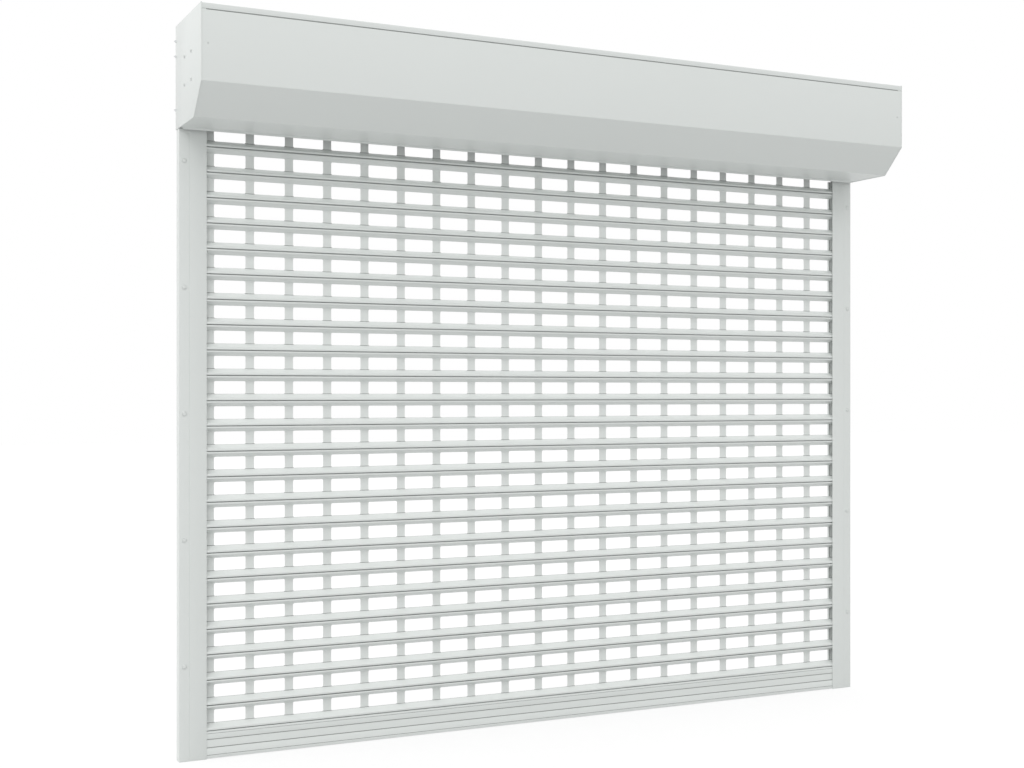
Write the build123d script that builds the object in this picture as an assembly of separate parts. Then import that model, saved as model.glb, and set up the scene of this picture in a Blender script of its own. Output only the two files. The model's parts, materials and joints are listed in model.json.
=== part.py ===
from build123d import *
import math
import os

# Roller security grille for face fixing: a square box with a chamfered lower front corner holds the
# barrel, two guides run down to the floor, and a curtain of hollow slats with punched windows hangs
# between them. X runs along the barrel, the front looks towards -Y, Z is up. The origin is on the
# floor, in the middle of the width and of the box's depth. Lengths are in millimetres, and W is the
# distance from the wall towards the front.

# Overall sizes
WIDTH = 2770.0
HEIGHT = 2417.0
BOX_SIZE = 341.0
BOX_CHAMFER = 98.0
FIT_GAP = 0.3
RUNNING_GAP = 0.05

# Box: end plates and covers
END_PLATE_T = 3.0
END_FLANGE_DEPTH = 14.0
END_FLANGE_T = 2.0
PLATE_EDGE_PROUD = 1.5
COVER_T = 1.2
TOP_FLANGE_H = 18.0
COVER_JOINT_GAP = 3.0
COVER_LAP = 8.0
BACK_EDGE_UP = 8.0
LIP_R = 3.0
LIP_TO_GUIDE = 12.0
LIP_END_GAP = 9.0

# Guides
GUIDE_WIDTH = 92.0
GUIDE_DEPTH = 34.0
GUIDE_WALL = 2.0
GUIDE_CORNER_R = 1.5
CHAMBER_WIDTH = 30.0
GROOVE_WIDTH = 1.0
GROOVE_DEPTH = 0.6
SLOT_MOUTH = 25.0
HOLDER_WIDTH = 13.0
HOLDER_WALL = 2.0
BRUSH_BASE_T = 3.0
BRUSH_NECK = 3.0
BRUSH_PILE_T = 2.2
BRUSH_TO_SLAT = 0.4

# Wall fixings through the back of each guide
FIRST_FIXING_Z = 309.0
FIXING_PITCH = 415.0
FIXING_FROM_EDGE = 16.5
FIXING_HOLE_R = 4.25

# Slats: depths are from the web's front face, drops from the top of the slat's windows
SLAT_PITCH = 84.0
SLAT_END_PLAY = 14.0
TOP_SLAT_RISE = 40.0
WEB_BACK_TO_WALL = 8.2
WEB_T = 2.0
SLAT_WALL = 1.8
LOWEST_WINDOW_TOP = 157.3
WINDOW_HEIGHT = 42.2
WINDOW_WIDTH = 107.3
WINDOW_PITCH = 136.23
FIRST_WINDOW_FROM_END = 65.0
LAST_WINDOW_FROM_END = 20.0
BEAD_DEPTH = 21.0
BEAD_START = 43.0
BEAD_FRONT_TOP = 57.0
BEAD_BOTTOM = 62.8
CURL_DEPTH = 20.0
CURL_TOP = 16.3
CURL_FRONT_BOTTOM = 12.5
CURL_END = 1.0
HOOK_AXIS_DEPTH = 10.0
HOOK_T = 3.0
HOOK_HEAD = 6.0
HOOK_HEAD_H = 2.6
HOOK_SLOT = 7.0

# End locks in every second slat
LOCK_EVERY = 2
LOCK_T = 9.0
LOCK_HEIGHT = 17.0
LOCK_PLAY = 1.0

# Bottom bar and its seal
BAR_BOTTOM = 3.5
BAR_TOP = 91.0
BAR_WALL = 1.8
BAR_PANEL_LOW = 35.0
BAR_PANEL_HIGH = 62.0
BAR_PANEL_DEPTH = 1.0
BAR_GROOVE_DEPTH = 1.0
BAR_GROOVE_WIDTH = 1.6
BAR_LOW_GROOVE_Z = 11.0
BAR_HIGH_GROOVE_Z = 82.0
BAR_FLOOR_T = 2.0
BAR_SKIRT = 4.5
BAR_CAP_T = 2.0
SEAL_WIDTH = 9.0
SEAL_TIP = 4.0

# Barrel and drive
TUBE_FLATS = 102.0
TUBE_WALL = 2.0
TUBE_END_GAP = 35.0
TUBE_FIT = 0.2
ADAPTER_LENGTH = 30.0
BRACKET_SIZE = 120.0
BRACKET_T = 4.0
MOTOR_R = 29.5
MOTOR_LENGTH = 640.0
MOTOR_HEAD_SIZE = 84.0
MOTOR_HEAD_T = 20.0
OUTPUT_SHAFT_R = 10.0
OUTPUT_SHAFT_IN_MOTOR = 20.0
DRIVE_WHEEL_T = 24.0
AXLE_R = 10.0
AXLE_IN_PLUG = 26.0
BEARING_SIZE = 60.0
BEARING_T = 14.0

# Hangers between the barrel and the top slat
HANGER_COUNT = 4
HANGER_PITCH = 680.0
HANGER_WIDTH = 44.0
HANGER_T = 1.0
HANGER_PAST_CORNER = 12.0
HANGER_EYE_GAP = 0.4

# Entry funnels and the stems that join the end plates to the guides
FUNNEL_H = 18.0
FUNNEL_KNEE = 4.0
FUNNEL_FLARE = 8.0
FUNNEL_WALL = 3.0
STEM_IN_GUIDE = 100.0
STEM_IN_BOX = 80.0

# Places that follow from the sizes
WALL_Y = BOX_SIZE / 2
BOX_BOTTOM = HEIGHT - BOX_SIZE
PLATE_IN_X = WIDTH / 2 - END_PLATE_T
COVER_OUT_W = BOX_SIZE - PLATE_EDGE_PROUD
COVER_IN_INSET = PLATE_EDGE_PROUD + COVER_T
HEM_IN_W = COVER_OUT_W - 2 * COVER_T
FLANGE_LOW_Z = HEIGHT - PLATE_EDGE_PROUD - TOP_FLANGE_H
LIP_W = GUIDE_DEPTH + LIP_TO_GUIDE + LIP_R
GUIDE_OUT_X = PLATE_IN_X
GUIDE_IN_X = GUIDE_OUT_X - GUIDE_WIDTH
CHAMBER_OUT_X = GUIDE_OUT_X - GUIDE_WALL
CHAMBER_IN_X = CHAMBER_OUT_X - CHAMBER_WIDTH
SLOT_END_X = CHAMBER_IN_X - GUIDE_WALL
SLOT_FRONT_W = GUIDE_DEPTH - GUIDE_WALL
HOLDER_FRONT_W = SLOT_FRONT_W - SLOT_MOUTH
WEB_FRONT_W = WEB_BACK_TO_WALL + WEB_T
BEAD_FRONT_W = WEB_FRONT_W + BEAD_DEPTH
HOOK_W = WEB_FRONT_W + HOOK_AXIS_DEPTH
SLAT_LENGTH = 2 * (SLOT_END_X - SLAT_END_PLAY - LOCK_T)
SLAT_END_X = SLAT_LENGTH / 2
AXIS_W = BOX_SIZE / 2
AXIS_Z = HEIGHT - BOX_SIZE / 2
TUBE_END_X = PLATE_IN_X - TUBE_END_GAP


def fitting(length, pitch):
    # How many copies, one pitch apart, fit between the first and the last allowed place
    return 1 + int(length / pitch)


SLAT_COUNT = fitting(BOX_BOTTOM + TOP_SLAT_RISE - LOWEST_WINDOW_TOP, SLAT_PITCH)
WINDOW_ROOM = SLAT_LENGTH - FIRST_WINDOW_FROM_END - LAST_WINDOW_FROM_END - WINDOW_WIDTH
WINDOW_COUNT = fitting(WINDOW_ROOM, WINDOW_PITCH)
FIXING_COUNT = fitting(BOX_BOTTOM - STEM_IN_GUIDE - FIXING_HOLE_R - FIRST_FIXING_Z, FIXING_PITCH)


def window_top(row):
    # The slats are stacked up from the bottom bar, and row 0 is the top one
    return LOWEST_WINDOW_TOP + (SLAT_COUNT - 1 - row) * SLAT_PITCH


def hook_seat(row):
    # Height of the ledge in the bead above, on which this row's hook hangs
    return window_top(row - 1) - BEAD_BOTTOM + SLAT_WALL


# Sketches: sections across the barrel use (W, height), plans use (X, W)
def polygon(points):
    return make_face(Polyline(*points, close=True))


def rectangle(low, high, base, top):
    return polygon([(low, base), (high, base), (high, top), (low, top)])


def disc(w, z, radius):
    return Pos(w, z) * Circle(radius)


def along_x(face, x_low, x_high):
    plane = Plane(origin=(x_high, WALL_Y, 0), x_dir=(0, -1, 0), z_dir=(-1, 0, 0))
    return extrude(plane * face, amount=x_high - x_low)


def upwards(face, z_low, z_high):
    plane = Plane(origin=(0, WALL_Y, z_low), x_dir=(1, 0, 0), z_dir=(0, 0, -1))
    return extrude(plane * face, amount=z_low - z_high)


def other_end(shape):
    return mirror(shape, about=Plane.YZ)


# Box
def box_outline(inset):
    cut = BOX_CHAMFER - inset * (2 - math.sqrt(2))
    low = BOX_BOTTOM + inset
    high = HEIGHT - inset
    front = BOX_SIZE - inset
    return [(inset, low), (front - cut, low), (front, low + cut), (front, high), (inset, high)]


def end_plate():
    plate = along_x(polygon(box_outline(0)), PLATE_IN_X, WIDTH / 2)
    ring = polygon(box_outline(COVER_IN_INSET)) - polygon(box_outline(COVER_IN_INSET + END_FLANGE_T))
    guide_corner = rectangle(0, LIP_W + LIP_R, BOX_BOTTOM, BOX_BOTTOM + STEM_IN_BOX + FIT_GAP)
    lap_low = FLANGE_LOW_Z - COVER_JOINT_GAP - 2 * COVER_T
    lap_corner = rectangle(HEM_IN_W - 2 * COVER_T, BOX_SIZE, lap_low, HEIGHT)
    flange = along_x(ring - guide_corner - lap_corner, PLATE_IN_X - END_FLANGE_DEPTH, PLATE_IN_X)
    return plate + flange


def rear_cover():
    # Back, top and a short front flange folded from one sheet, the flange doubled by a hem
    back_low = BOX_BOTTOM + BACK_EDGE_UP
    points = [
        (PLATE_EDGE_PROUD, back_low),
        (PLATE_EDGE_PROUD, HEIGHT - PLATE_EDGE_PROUD),
        (COVER_OUT_W, HEIGHT - PLATE_EDGE_PROUD),
        (COVER_OUT_W, FLANGE_LOW_Z),
        (HEM_IN_W, FLANGE_LOW_Z),
        (HEM_IN_W, HEIGHT - COVER_IN_INSET),
        (COVER_IN_INSET, HEIGHT - COVER_IN_INSET),
        (COVER_IN_INSET, back_low),
    ]
    return along_x(polygon(points), -PLATE_IN_X, PLATE_IN_X)


def front_cover():
    # A lap behind the flange, a joggle, the front, the chamfer, the bottom and a rolled lip
    lap_w = HEM_IN_W - FIT_GAP
    joint_z = FLANGE_LOW_Z - COVER_JOINT_GAP
    lap_z = FLANGE_LOW_Z + COVER_LAP
    outer = box_outline(PLATE_EDGE_PROUD)
    inner = box_outline(COVER_IN_INSET)
    points = [
        (LIP_W, outer[0][1]),
        outer[1],
        outer[2],
        (COVER_OUT_W, joint_z),
        (lap_w, joint_z),
        (lap_w, lap_z),
        (lap_w - COVER_T, lap_z),
        (lap_w - COVER_T, joint_z - COVER_T),
        (COVER_OUT_W - COVER_T, joint_z - COVER_T),
        inner[2],
        inner[1],
        (LIP_W, inner[0][1]),
    ]
    lip = disc(LIP_W, inner[0][1] - LIP_R, LIP_R)
    lip_end_x = PLATE_IN_X - LIP_END_GAP
    return along_x(polygon(points), -PLATE_IN_X, PLATE_IN_X) + along_x(lip, -lip_end_x, lip_end_x)


# Right guide: a fixing chamber outside, and inside it the slot with a brush in its back lip
HOLDER_OUT_X = GUIDE_IN_X + HOLDER_WIDTH
POCKET_LOW_X = GUIDE_IN_X + HOLDER_WALL
POCKET_HIGH_X = HOLDER_OUT_X - HOLDER_WALL
BRUSH_X = (POCKET_LOW_X + POCKET_HIGH_X) / 2


def chamber(gap):
    return rectangle(CHAMBER_IN_X + gap, CHAMBER_OUT_X - gap, GUIDE_WALL + gap, SLOT_FRONT_W - gap)


def guide():
    body = rectangle(GUIDE_IN_X, GUIDE_OUT_X, 0, GUIDE_DEPTH)
    front_corner = body.vertices().sort_by_distance((GUIDE_OUT_X, GUIDE_DEPTH))[0]
    body = fillet(front_corner, GUIDE_CORNER_R)
    slot = rectangle(HOLDER_OUT_X, SLOT_END_X, GUIDE_WALL, SLOT_FRONT_W)
    mouth = rectangle(GUIDE_IN_X, HOLDER_OUT_X, HOLDER_FRONT_W, SLOT_FRONT_W)
    pocket = rectangle(POCKET_LOW_X, POCKET_HIGH_X, GUIDE_WALL, GUIDE_WALL + BRUSH_BASE_T + FIT_GAP)
    neck_half = BRUSH_NECK / 2
    neck = rectangle(BRUSH_X - neck_half, BRUSH_X + neck_half, GUIDE_WALL, HOLDER_FRONT_W)
    groove = polygon(
        [
            (SLOT_END_X - GROOVE_WIDTH / 2, GUIDE_DEPTH),
            (SLOT_END_X + GROOVE_WIDTH / 2, GUIDE_DEPTH),
            (SLOT_END_X, GUIDE_DEPTH - GROOVE_DEPTH),
        ]
    )
    section = body - chamber(0) - slot - mouth - pocket - neck - groove
    made = upwards(section, 0, BOX_BOTTOM)
    x = GUIDE_OUT_X - FIXING_FROM_EDGE
    for i in range(FIXING_COUNT):
        z = FIRST_FIXING_Z + i * FIXING_PITCH
        made -= Pos(x, WALL_Y, z) * Rot(90, 0, 0) * Cylinder(FIXING_HOLE_R, 3 * GUIDE_WALL)
    return made


def guide_brush():
    # A flat base in the pocket, with its pile standing through the neck towards the slats
    base = rectangle(POCKET_LOW_X + FIT_GAP, POCKET_HIGH_X - FIT_GAP, GUIDE_WALL, GUIDE_WALL + BRUSH_BASE_T)
    half = BRUSH_PILE_T / 2
    pile = rectangle(BRUSH_X - half, BRUSH_X + half, GUIDE_WALL, WEB_BACK_TO_WALL - BRUSH_TO_SLAT)
    return upwards(base + pile, 0, BOX_BOTTOM)


def guide_stem():
    # A square bar in the guide's chamber, with its upper end against the end plate
    in_box = rectangle(CHAMBER_IN_X + FIT_GAP, PLATE_IN_X, COVER_IN_INSET, SLOT_FRONT_W - FIT_GAP)
    lower = upwards(chamber(FIT_GAP), BOX_BOTTOM - STEM_IN_GUIDE, BOX_BOTTOM)
    return lower + upwards(in_box, BOX_BOTTOM, BOX_BOTTOM + STEM_IN_BOX)


def entry_funnel():
    # A nylon mouth on the guide's top, flared towards the barrel and closed at its outer end
    knee = BOX_BOTTOM + FUNNEL_KNEE
    top = BOX_BOTTOM + FUNNEL_H
    flare = polygon(
        [
            (SLOT_FRONT_W, BOX_BOTTOM),
            (GUIDE_DEPTH, BOX_BOTTOM),
            (GUIDE_DEPTH, knee),
            (GUIDE_DEPTH + FUNNEL_FLARE, top),
            (SLOT_FRONT_W + FUNNEL_FLARE, top),
            (SLOT_FRONT_W, knee),
        ]
    )
    stop = rectangle(COVER_IN_INSET, GUIDE_DEPTH, BOX_BOTTOM, top)
    return along_x(flare, GUIDE_IN_X, CHAMBER_IN_X) + along_x(stop, CHAMBER_IN_X - FUNNEL_WALL, CHAMBER_IN_X)


# Slats: hook, curl, windowed web and hollow bead in one extrusion
def slat_section(row):
    top = window_top(row)

    def at(depth, drop):
        return (WEB_FRONT_W + depth, top - drop)

    def hook(depth, height):
        return (WEB_FRONT_W + depth, hook_seat(row) + height)

    neck_back = HOOK_AXIS_DEPTH - HOOK_T / 2
    neck_front = HOOK_AXIS_DEPTH + HOOK_T / 2
    slot_back = HOOK_AXIS_DEPTH - HOOK_SLOT / 2
    slot_front = HOOK_AXIS_DEPTH + HOOK_SLOT / 2
    ledge = BEAD_BOTTOM - SLAT_WALL
    slope = (BEAD_FRONT_TOP - BEAD_START) / BEAD_DEPTH
    ceiling = BEAD_START + SLAT_WALL * math.hypot(1, slope)
    nose = BEAD_DEPTH - SLAT_WALL
    return polygon(
        [
            at(neck_back, -CURL_TOP),
            hook(neck_back, HOOK_HEAD_H),
            hook(neck_back + HOOK_HEAD, HOOK_HEAD_H),
            hook(neck_back + HOOK_HEAD, 0),
            hook(neck_front, 0),
            at(neck_front, -CURL_TOP),
            at(CURL_DEPTH, -CURL_TOP),
            at(CURL_DEPTH, -CURL_FRONT_BOTTOM),
            at(0, -CURL_END),
            at(0, BEAD_START),
            at(BEAD_DEPTH, BEAD_FRONT_TOP),
            at(BEAD_DEPTH, BEAD_BOTTOM),
            at(slot_front, BEAD_BOTTOM),
            at(slot_front, ledge),
            at(nose, ledge),
            at(nose, ceiling + slope * nose),
            at(0, ceiling),
            at(0, ledge),
            at(slot_back, ledge),
            at(slot_back, BEAD_BOTTOM),
            at(-WEB_T, BEAD_BOTTOM),
            at(-WEB_T, -CURL_TOP),
        ]
    )


def slat(row):
    profile = along_x(slat_section(row), -SLAT_END_X, SLAT_END_X)
    window = Box(WINDOW_WIDTH, 3 * WEB_T, WINDOW_HEIGHT)
    x = -SLAT_END_X + FIRST_WINDOW_FROM_END + WINDOW_WIDTH / 2
    y = WALL_Y - WEB_FRONT_W + WEB_T / 2
    z = window_top(row) - WINDOW_HEIGHT / 2
    return profile - [Pos(x + i * WINDOW_PITCH, y, z) * window for i in range(WINDOW_COUNT)]


def end_locks():
    # Nylon blocks on the ends of every second slat, which run in the guides' slots
    locks = []
    for row in range(1, SLAT_COUNT, LOCK_EVERY):
        low = window_top(row) - BEAD_BOTTOM
        block = rectangle(GUIDE_WALL + LOCK_PLAY, SLOT_FRONT_W - LOCK_PLAY, low, low + LOCK_HEIGHT)
        right = along_x(block, SLAT_END_X, SLAT_END_X + LOCK_T)
        locks += [right, other_end(right)]
    return Compound(children=locks)


# Bottom bar: a hollow extrusion with the slats' hook on top and a pocket for the seal below
def bottom_bar():
    back = WEB_BACK_TO_WALL
    front = BEAD_FRONT_W
    panel = front - BAR_PANEL_DEPTH
    pocket = BAR_BOTTOM + BAR_SKIRT
    neck_back = HOOK_W - HOOK_T / 2
    neck_front = HOOK_W + HOOK_T / 2
    seat = hook_seat(SLAT_COUNT)

    def groove(z):
        half = BAR_GROOVE_WIDTH / 2
        return [(front, z - half), (front - BAR_GROOVE_DEPTH, z), (front, z + half)]

    outer = polygon(
        [
            (back, BAR_BOTTOM),
            (back + BAR_WALL, BAR_BOTTOM),
            (back + BAR_WALL, pocket),
            (front - BAR_WALL, pocket),
            (front - BAR_WALL, BAR_BOTTOM),
            (front, BAR_BOTTOM),
            *groove(BAR_LOW_GROOVE_Z),
            (front, BAR_PANEL_LOW),
            (panel, BAR_PANEL_LOW),
            (panel, BAR_PANEL_HIGH),
            (front, BAR_PANEL_HIGH),
            *groove(BAR_HIGH_GROOVE_Z),
            (front, BAR_TOP),
            (neck_front, BAR_TOP),
            (neck_front, seat),
            (neck_back + HOOK_HEAD, seat),
            (neck_back + HOOK_HEAD, seat + HOOK_HEAD_H),
            (neck_back, seat + HOOK_HEAD_H),
            (neck_back, BAR_TOP),
            (back, BAR_TOP),
        ]
    )
    hollow = rectangle(back + BAR_WALL, panel - BAR_WALL, pocket + BAR_FLOOR_T, BAR_TOP - BAR_WALL)
    return along_x(outer - hollow, -SLAT_END_X, SLAT_END_X)


def bottom_seal():
    # A soft strip under the bar's floor, narrowed where it meets the ground
    middle = (WEB_BACK_TO_WALL + BEAD_FRONT_W) / 2
    half = SEAL_WIDTH / 2
    tip = SEAL_TIP / 2
    shoulder = half - tip
    strip = polygon(
        [
            (middle - tip, 0),
            (middle + tip, 0),
            (middle + half, shoulder),
            (middle + half, BAR_BOTTOM + BAR_SKIRT),
            (middle - half, BAR_BOTTOM + BAR_SKIRT),
            (middle - half, shoulder),
        ]
    )
    return along_x(strip, -SLAT_END_X, SLAT_END_X)


def bottom_bar_caps():
    cap = rectangle(WEB_BACK_TO_WALL, BEAD_FRONT_W, BAR_BOTTOM, BAR_TOP)
    right = along_x(cap, SLAT_END_X, SLAT_END_X + BAR_CAP_T)
    return Compound(children=[right, other_end(right)])


# Hangers lean from the top slat's hook to the barrel and pass one corner of the tube
CORNER_R = TUBE_FLATS / 2 / math.cos(math.pi / 8)
HANGER_FOOT_Z = hook_seat(0)
REACH = math.hypot(AXIS_W - HOOK_W, AXIS_Z - HANGER_FOOT_Z)
HANGER_OFF_AXIS = CORNER_R + FIT_GAP + HANGER_T / 2
HANGER_LEAN = math.atan2(AXIS_W - HOOK_W, AXIS_Z - HANGER_FOOT_Z) - math.asin(HANGER_OFF_AXIS / REACH)
TUBE_TURN = 180 - math.degrees(HANGER_LEAN)


def hangers():
    start = (HOOK_HEAD_H + HANGER_EYE_GAP + HANGER_T / 2) / math.cos(HANGER_LEAN)
    end = math.sqrt(REACH**2 - HANGER_OFF_AXIS**2) + HANGER_PAST_CORNER
    strap = Pos(0, (start + end) / 2) * Rectangle(HANGER_T, end - start)
    strap = Pos(HOOK_W, HANGER_FOOT_Z) * Rot(0, 0, -math.degrees(HANGER_LEAN)) * strap
    back = HOOK_W - HOOK_T / 2 - HANGER_EYE_GAP
    front = HOOK_W - HOOK_T / 2 + HOOK_HEAD + HANGER_EYE_GAP
    neck = HOOK_W + HOOK_T / 2 + HANGER_EYE_GAP
    head = HANGER_FOOT_Z + HOOK_HEAD_H + HANGER_EYE_GAP
    under = HANGER_FOOT_Z - FIT_GAP
    eye = polygon(
        [
            (back - HANGER_T, under - HANGER_T),
            (back, under - HANGER_T),
            (back, head),
            (front, head),
            (front, under),
            (neck, under),
            (neck, under - HANGER_T),
            (front + HANGER_T, under - HANGER_T),
            (front + HANGER_T, head + HANGER_T),
            (back - HANGER_T, head + HANGER_T),
        ]
    )
    half = HANGER_WIDTH / 2
    first = -HANGER_PITCH * (HANGER_COUNT - 1) / 2
    places = [first + i * HANGER_PITCH for i in range(HANGER_COUNT)]
    return Compound(children=[along_x(eye + strap, x - half, x + half) for x in places])


# Barrel
def octagon(across_flats):
    radius = across_flats / 2 / math.cos(math.pi / 8)
    return Pos(AXIS_W, AXIS_Z) * RegularPolygon(radius, 8, rotation=TUBE_TURN)


def octagonal_tube():
    section = octagon(TUBE_FLATS) - octagon(TUBE_FLATS - 2 * TUBE_WALL)
    return along_x(section, -TUBE_END_X, TUBE_END_X)


def adapter(bore):
    return octagon(TUBE_FLATS - 2 * TUBE_WALL - 2 * TUBE_FIT) - bore


def axis_disc(radius):
    return disc(AXIS_W, AXIS_Z, radius)


def axis_square(size):
    half = size / 2
    return rectangle(AXIS_W - half, AXIS_W + half, AXIS_Z - half, AXIS_Z + half)


def output_hexagon():
    return Pos(AXIS_W, AXIS_Z) * RegularPolygon(OUTPUT_SHAFT_R, 6)


# Left end: bracket, motor, and the crown and drive wheel that carry the tube
MOTOR_HEAD_X = -PLATE_IN_X + BRACKET_T
MOTOR_BODY_X = MOTOR_HEAD_X + MOTOR_HEAD_T
MOTOR_END_X = MOTOR_BODY_X + MOTOR_LENGTH
WHEEL_X = MOTOR_END_X + FIT_GAP


def motor_bracket():
    return along_x(axis_square(BRACKET_SIZE), -PLATE_IN_X, MOTOR_HEAD_X)


def tubular_motor():
    head = along_x(axis_square(MOTOR_HEAD_SIZE), MOTOR_HEAD_X, MOTOR_BODY_X)
    body = along_x(axis_disc(MOTOR_R), MOTOR_BODY_X, MOTOR_END_X)
    socket = axis_disc(OUTPUT_SHAFT_R + RUNNING_GAP)
    return head + body - along_x(socket, MOTOR_END_X - OUTPUT_SHAFT_IN_MOTOR, MOTOR_END_X)


def crown_ring():
    return along_x(adapter(axis_disc(MOTOR_R + RUNNING_GAP)), -TUBE_END_X, -TUBE_END_X + ADAPTER_LENGTH)


def output_shaft():
    return along_x(output_hexagon(), WHEEL_X - OUTPUT_SHAFT_IN_MOTOR, WHEEL_X + DRIVE_WHEEL_T)


def drive_wheel():
    return along_x(adapter(output_hexagon()), WHEEL_X, WHEEL_X + DRIVE_WHEEL_T)


# Right end: bracket, bearing, and the plug and axle of the tube
BEARING_OUT_X = PLATE_IN_X - BRACKET_T


def bearing_bracket():
    return along_x(axis_square(BRACKET_SIZE), BEARING_OUT_X, PLATE_IN_X)


def idler_bearing():
    block = axis_square(BEARING_SIZE) - axis_disc(AXLE_R + RUNNING_GAP)
    return along_x(block, BEARING_OUT_X - BEARING_T, BEARING_OUT_X)


def idler_plug():
    return along_x(adapter(axis_disc(AXLE_R)), TUBE_END_X - ADAPTER_LENGTH, TUBE_END_X)


def idler_axle():
    return along_x(axis_disc(AXLE_R), TUBE_END_X - AXLE_IN_PLUG, BEARING_OUT_X - FIT_GAP)


PAIRS = {
    "end_plate": end_plate,
    "guide": guide,
    "guide_brush": guide_brush,
    "guide_stem": guide_stem,
    "entry_funnel": entry_funnel,
}
SINGLES = [
    rear_cover,
    front_cover,
    end_locks,
    bottom_bar,
    bottom_seal,
    bottom_bar_caps,
    hangers,
    octagonal_tube,
    motor_bracket,
    tubular_motor,
    crown_ring,
    output_shaft,
    drive_wheel,
    bearing_bracket,
    idler_bearing,
    idler_plug,
    idler_axle,
]


def write(name, shape):
    export_step(shape, f"parts/{name}.step")


os.makedirs("parts", exist_ok=True)
for name, make in PAIRS.items():
    right = make()
    write(f"right_{name}", right)
    write(f"left_{name}", other_end(right))
for make in SINGLES:
    write(make.__name__, make())
for row in range(SLAT_COUNT):
    write(f"slat_{row + 1:02d}", slat(row))
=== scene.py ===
import json
import math

import bmesh
import bpy
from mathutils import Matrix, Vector


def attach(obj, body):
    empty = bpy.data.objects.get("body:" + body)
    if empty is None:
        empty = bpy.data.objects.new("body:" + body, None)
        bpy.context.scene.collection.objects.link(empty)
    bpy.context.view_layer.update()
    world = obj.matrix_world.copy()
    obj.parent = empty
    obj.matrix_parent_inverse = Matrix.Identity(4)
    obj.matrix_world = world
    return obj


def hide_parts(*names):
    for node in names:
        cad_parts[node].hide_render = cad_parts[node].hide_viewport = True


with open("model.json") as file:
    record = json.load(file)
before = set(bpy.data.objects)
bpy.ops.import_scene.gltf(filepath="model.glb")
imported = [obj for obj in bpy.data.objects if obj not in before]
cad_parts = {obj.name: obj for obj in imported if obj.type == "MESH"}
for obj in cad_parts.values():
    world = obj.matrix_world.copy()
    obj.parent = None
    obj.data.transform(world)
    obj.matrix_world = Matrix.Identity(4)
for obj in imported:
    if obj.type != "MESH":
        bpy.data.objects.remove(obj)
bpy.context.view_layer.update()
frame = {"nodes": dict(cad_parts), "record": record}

# Guides. Extruded aluminium channels, powder coated white, which stand on the floor and are
# screwed to the wall. The curtain runs in the inner slot; the outer chamber holds the wall screws
# behind domed plugs.
MM = 0.001
WALL_Y = 170.5
GUIDE_IN_X = 1290.0
GUIDE_OUT_X = 1382.0
GUIDE_DEPTH = 34.0
GUIDE_TOP = 2076.0
GUIDE_WALL = 2.0
SLOT_OUT_X = 1348.0
CHAMBER_IN_X = 1350.0
GUIDE_OUTER_R = 1.5
GUIDE_INNER_R = 0.6
FINE_BEVEL = 0.001
NEAR_REACH = 0.00002


def powder_coat(name, colour, roughness=0.36, peel_depth=0.12):
    """Polyester powder on metal: a very fine orange peel, with faint clouds in tone and gloss."""
    coat = bpy.data.materials.new(name)
    coat.use_nodes = True
    nodes, links = coat.node_tree.nodes, coat.node_tree.links
    shader = nodes["Principled BSDF"]
    place = nodes.new("ShaderNodeTexCoord")
    clouds = nodes.new("ShaderNodeTexNoise")
    clouds.inputs["Scale"].default_value = 3.0
    clouds.inputs["Detail"].default_value = 4.0
    tone = nodes.new("ShaderNodeMix")
    tone.data_type = "RGBA"
    tone.inputs["A"].default_value = (*[c * 0.985 for c in colour], 1)
    tone.inputs["B"].default_value = (*[c * 1.012 for c in colour], 1)
    peel = nodes.new("ShaderNodeTexNoise")
    peel.inputs["Scale"].default_value = 420.0
    peel.inputs["Detail"].default_value = 2.0
    relief = nodes.new("ShaderNodeBump")
    relief.inputs["Strength"].default_value = peel_depth
    relief.inputs["Distance"].default_value = 0.0003
    gloss = nodes.new("ShaderNodeMapRange")
    gloss.inputs["To Min"].default_value = roughness - 0.03
    gloss.inputs["To Max"].default_value = roughness + 0.05
    for texture in (clouds, peel):
        links.new(place.outputs["Object"], texture.inputs["Vector"])
    links.new(clouds.outputs["Fac"], tone.inputs["Factor"])
    links.new(clouds.outputs["Fac"], gloss.inputs["Value"])
    links.new(tone.outputs["Result"], shader.inputs["Base Color"])
    links.new(gloss.outputs["Result"], shader.inputs["Roughness"])
    links.new(peel.outputs["Fac"], relief.inputs["Height"])
    links.new(relief.outputs["Normal"], shader.inputs["Normal"])
    return coat


WHITE = (0.724, 0.7535, 0.737)
guide_coat = powder_coat("guide_coat", WHITE)


def select(kind, wanted):
    """In edit mode, selects the verts, edges or faces for which wanted(element) is true."""
    bpy.ops.mesh.select_mode(type={"verts": "VERT", "edges": "EDGE", "faces": "FACE"}[kind])
    bpy.ops.mesh.select_all(action="DESELECT")
    mesh = bmesh.from_edit_mesh(bpy.context.edit_object.data)
    for element in getattr(mesh, kind):
        if wanted(element):
            element.select_set(True)
    mesh.select_flush_mode()
    bmesh.update_edit_mesh(bpy.context.edit_object.data)


def near(vertex, point):
    return (vertex.co - Vector(point)).length < NEAR_REACH


def start_piece(name):
    """Leaves edit mode on a new, empty piece at the origin."""
    bpy.ops.object.select_all(action="DESELECT")
    bpy.ops.mesh.primitive_plane_add(size=0.01)
    piece = bpy.context.object
    piece.name = name
    bpy.ops.object.mode_set(mode="EDIT")
    bpy.ops.mesh.delete(type="VERT")
    return piece


def draw_line(points):
    """In edit mode, puts down one vertex and extrudes it from point to point."""
    bpy.ops.mesh.select_mode(type="VERT")
    bpy.ops.mesh.select_all(action="DESELECT")
    bpy.ops.mesh.primitive_plane_add(size=0.0001, location=points[0])
    bpy.ops.mesh.merge(type="CENTER")
    for here, there in zip(points, points[1:]):
        step = Vector(there) - Vector(here)
        bpy.ops.mesh.extrude_region_move(TRANSFORM_OT_translate={"value": step})


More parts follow.
